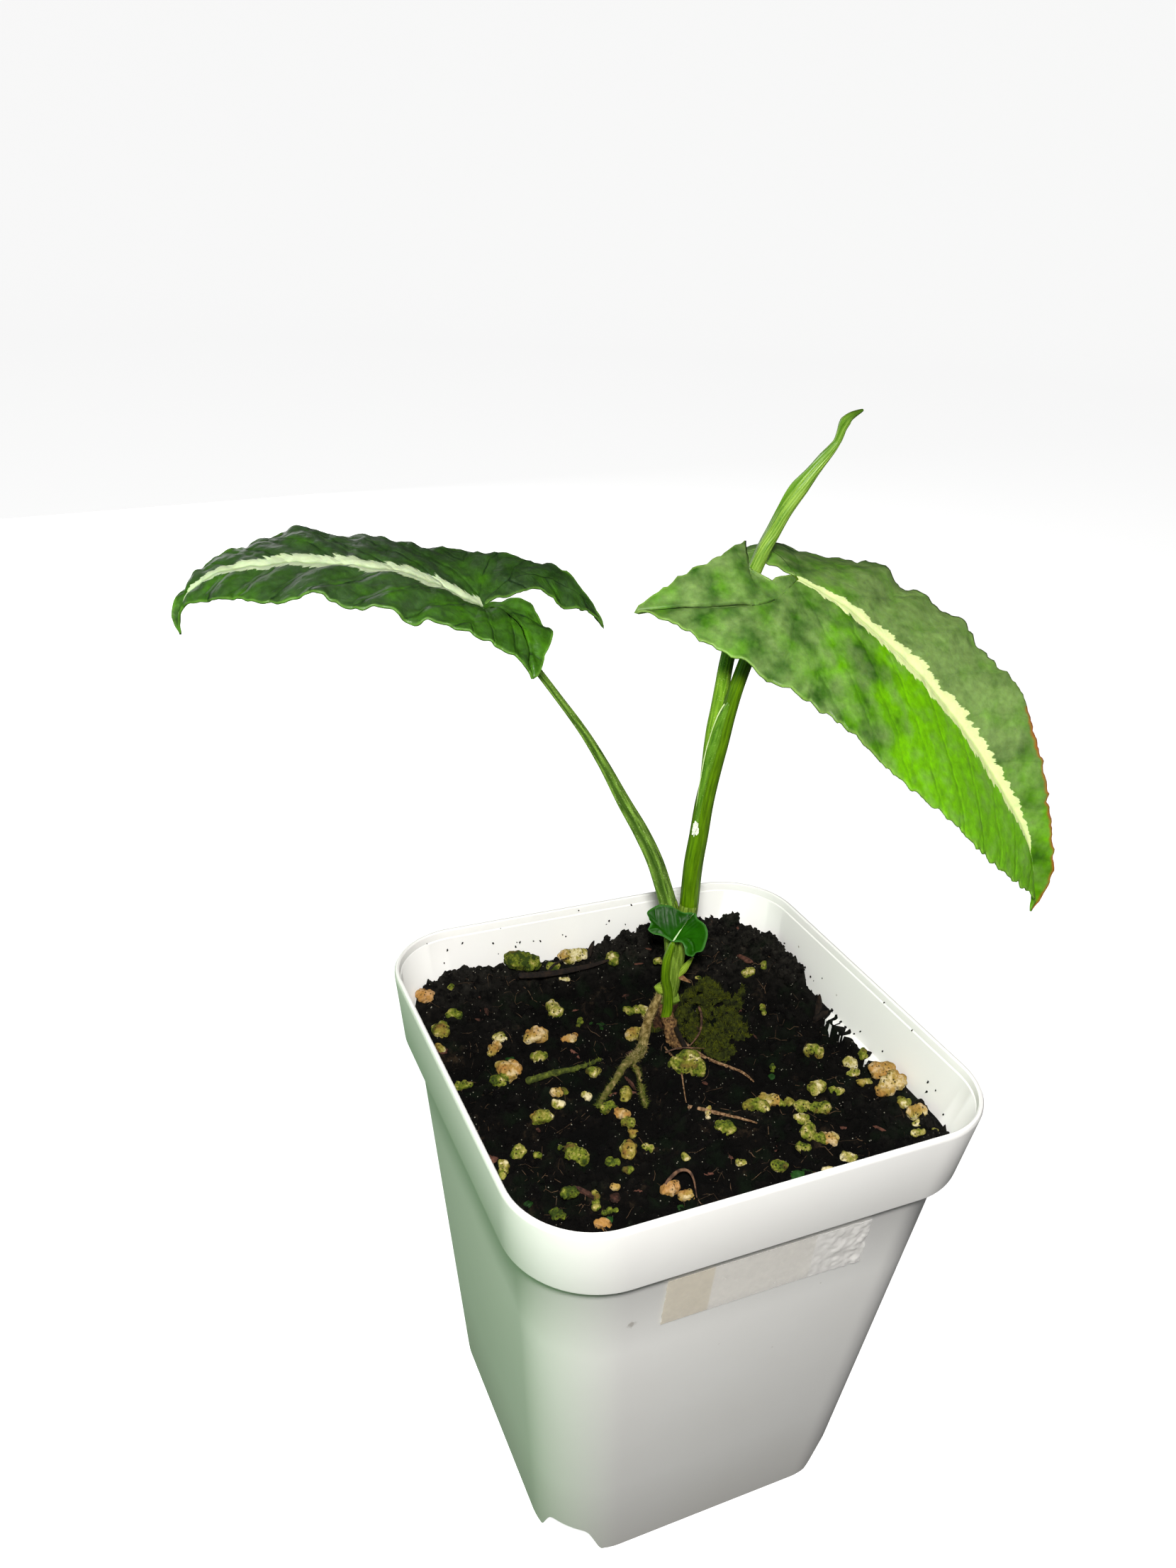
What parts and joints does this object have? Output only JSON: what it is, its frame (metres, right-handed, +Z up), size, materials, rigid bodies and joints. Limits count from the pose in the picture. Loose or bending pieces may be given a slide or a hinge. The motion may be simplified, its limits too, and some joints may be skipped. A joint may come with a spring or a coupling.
{
  "type": "potted arrowhead vine",
  "caption": "Young climbing aroid with lobed arrowhead leaves and a rolled new leaf, rooted in dark bark mix with pale grains in a tapering square nursery pot with a deep rim collar.",
  "frame": {"origin": "middle of the whole plant's bounding box in plan, at the height of the surface that the pot stands on; the pot's own centre lies about 3.1 mm along +X and 3.1 mm along -Y from it", "axes": "+Z up along the pot's axis, the pot's walls square to X and Y, the labelled front face of the pot towards -Y; the broad left leaf points to -X and the bright right leaf to +X"},
  "size_m": [0.1698, 0.1062, 0.2296],
  "materials": {
    "white_plastic": "satin",
    "clear_film": "gloss",
    "peat_and_bark": "matte",
    "stem_green": "satin",
    "left_stalk_green": "satin",
    "right_stalk_green": "satin",
    "new_stalk_green": "satin",
    "small_stalk_green": "satin",
    "leaf_dark_green": "satin",
    "leaf_bright_green": "satin",
    "small_leaf_green": "gloss",
    "young_leaf_green": "satin",
    "root_tan": "matte",
    "root_mossy": "matte"
  },
  "bodies": {
    "root": {"pot": "white_plastic", "label_tape": "clear_film", "potting_mix": "peat_and_bark", "main_stem": "stem_green", "petiole_left": "left_stalk_green", "petiole_right": "right_stalk_green", "petiole_new": "new_stalk_green", "petiole_small": "small_stalk_green", "leaf_left": "leaf_dark_green", "leaf_right": "leaf_bright_green", "leaf_small": "small_leaf_green", "leaf_new": "young_leaf_green", "root_fuzzy": "root_tan", "root_stub": "root_tan", "root_dry": "root_tan", "root_hair": "root_tan", "root_low": "root_tan", "root_green": "root_mossy"}
  },
  "joints": []
}
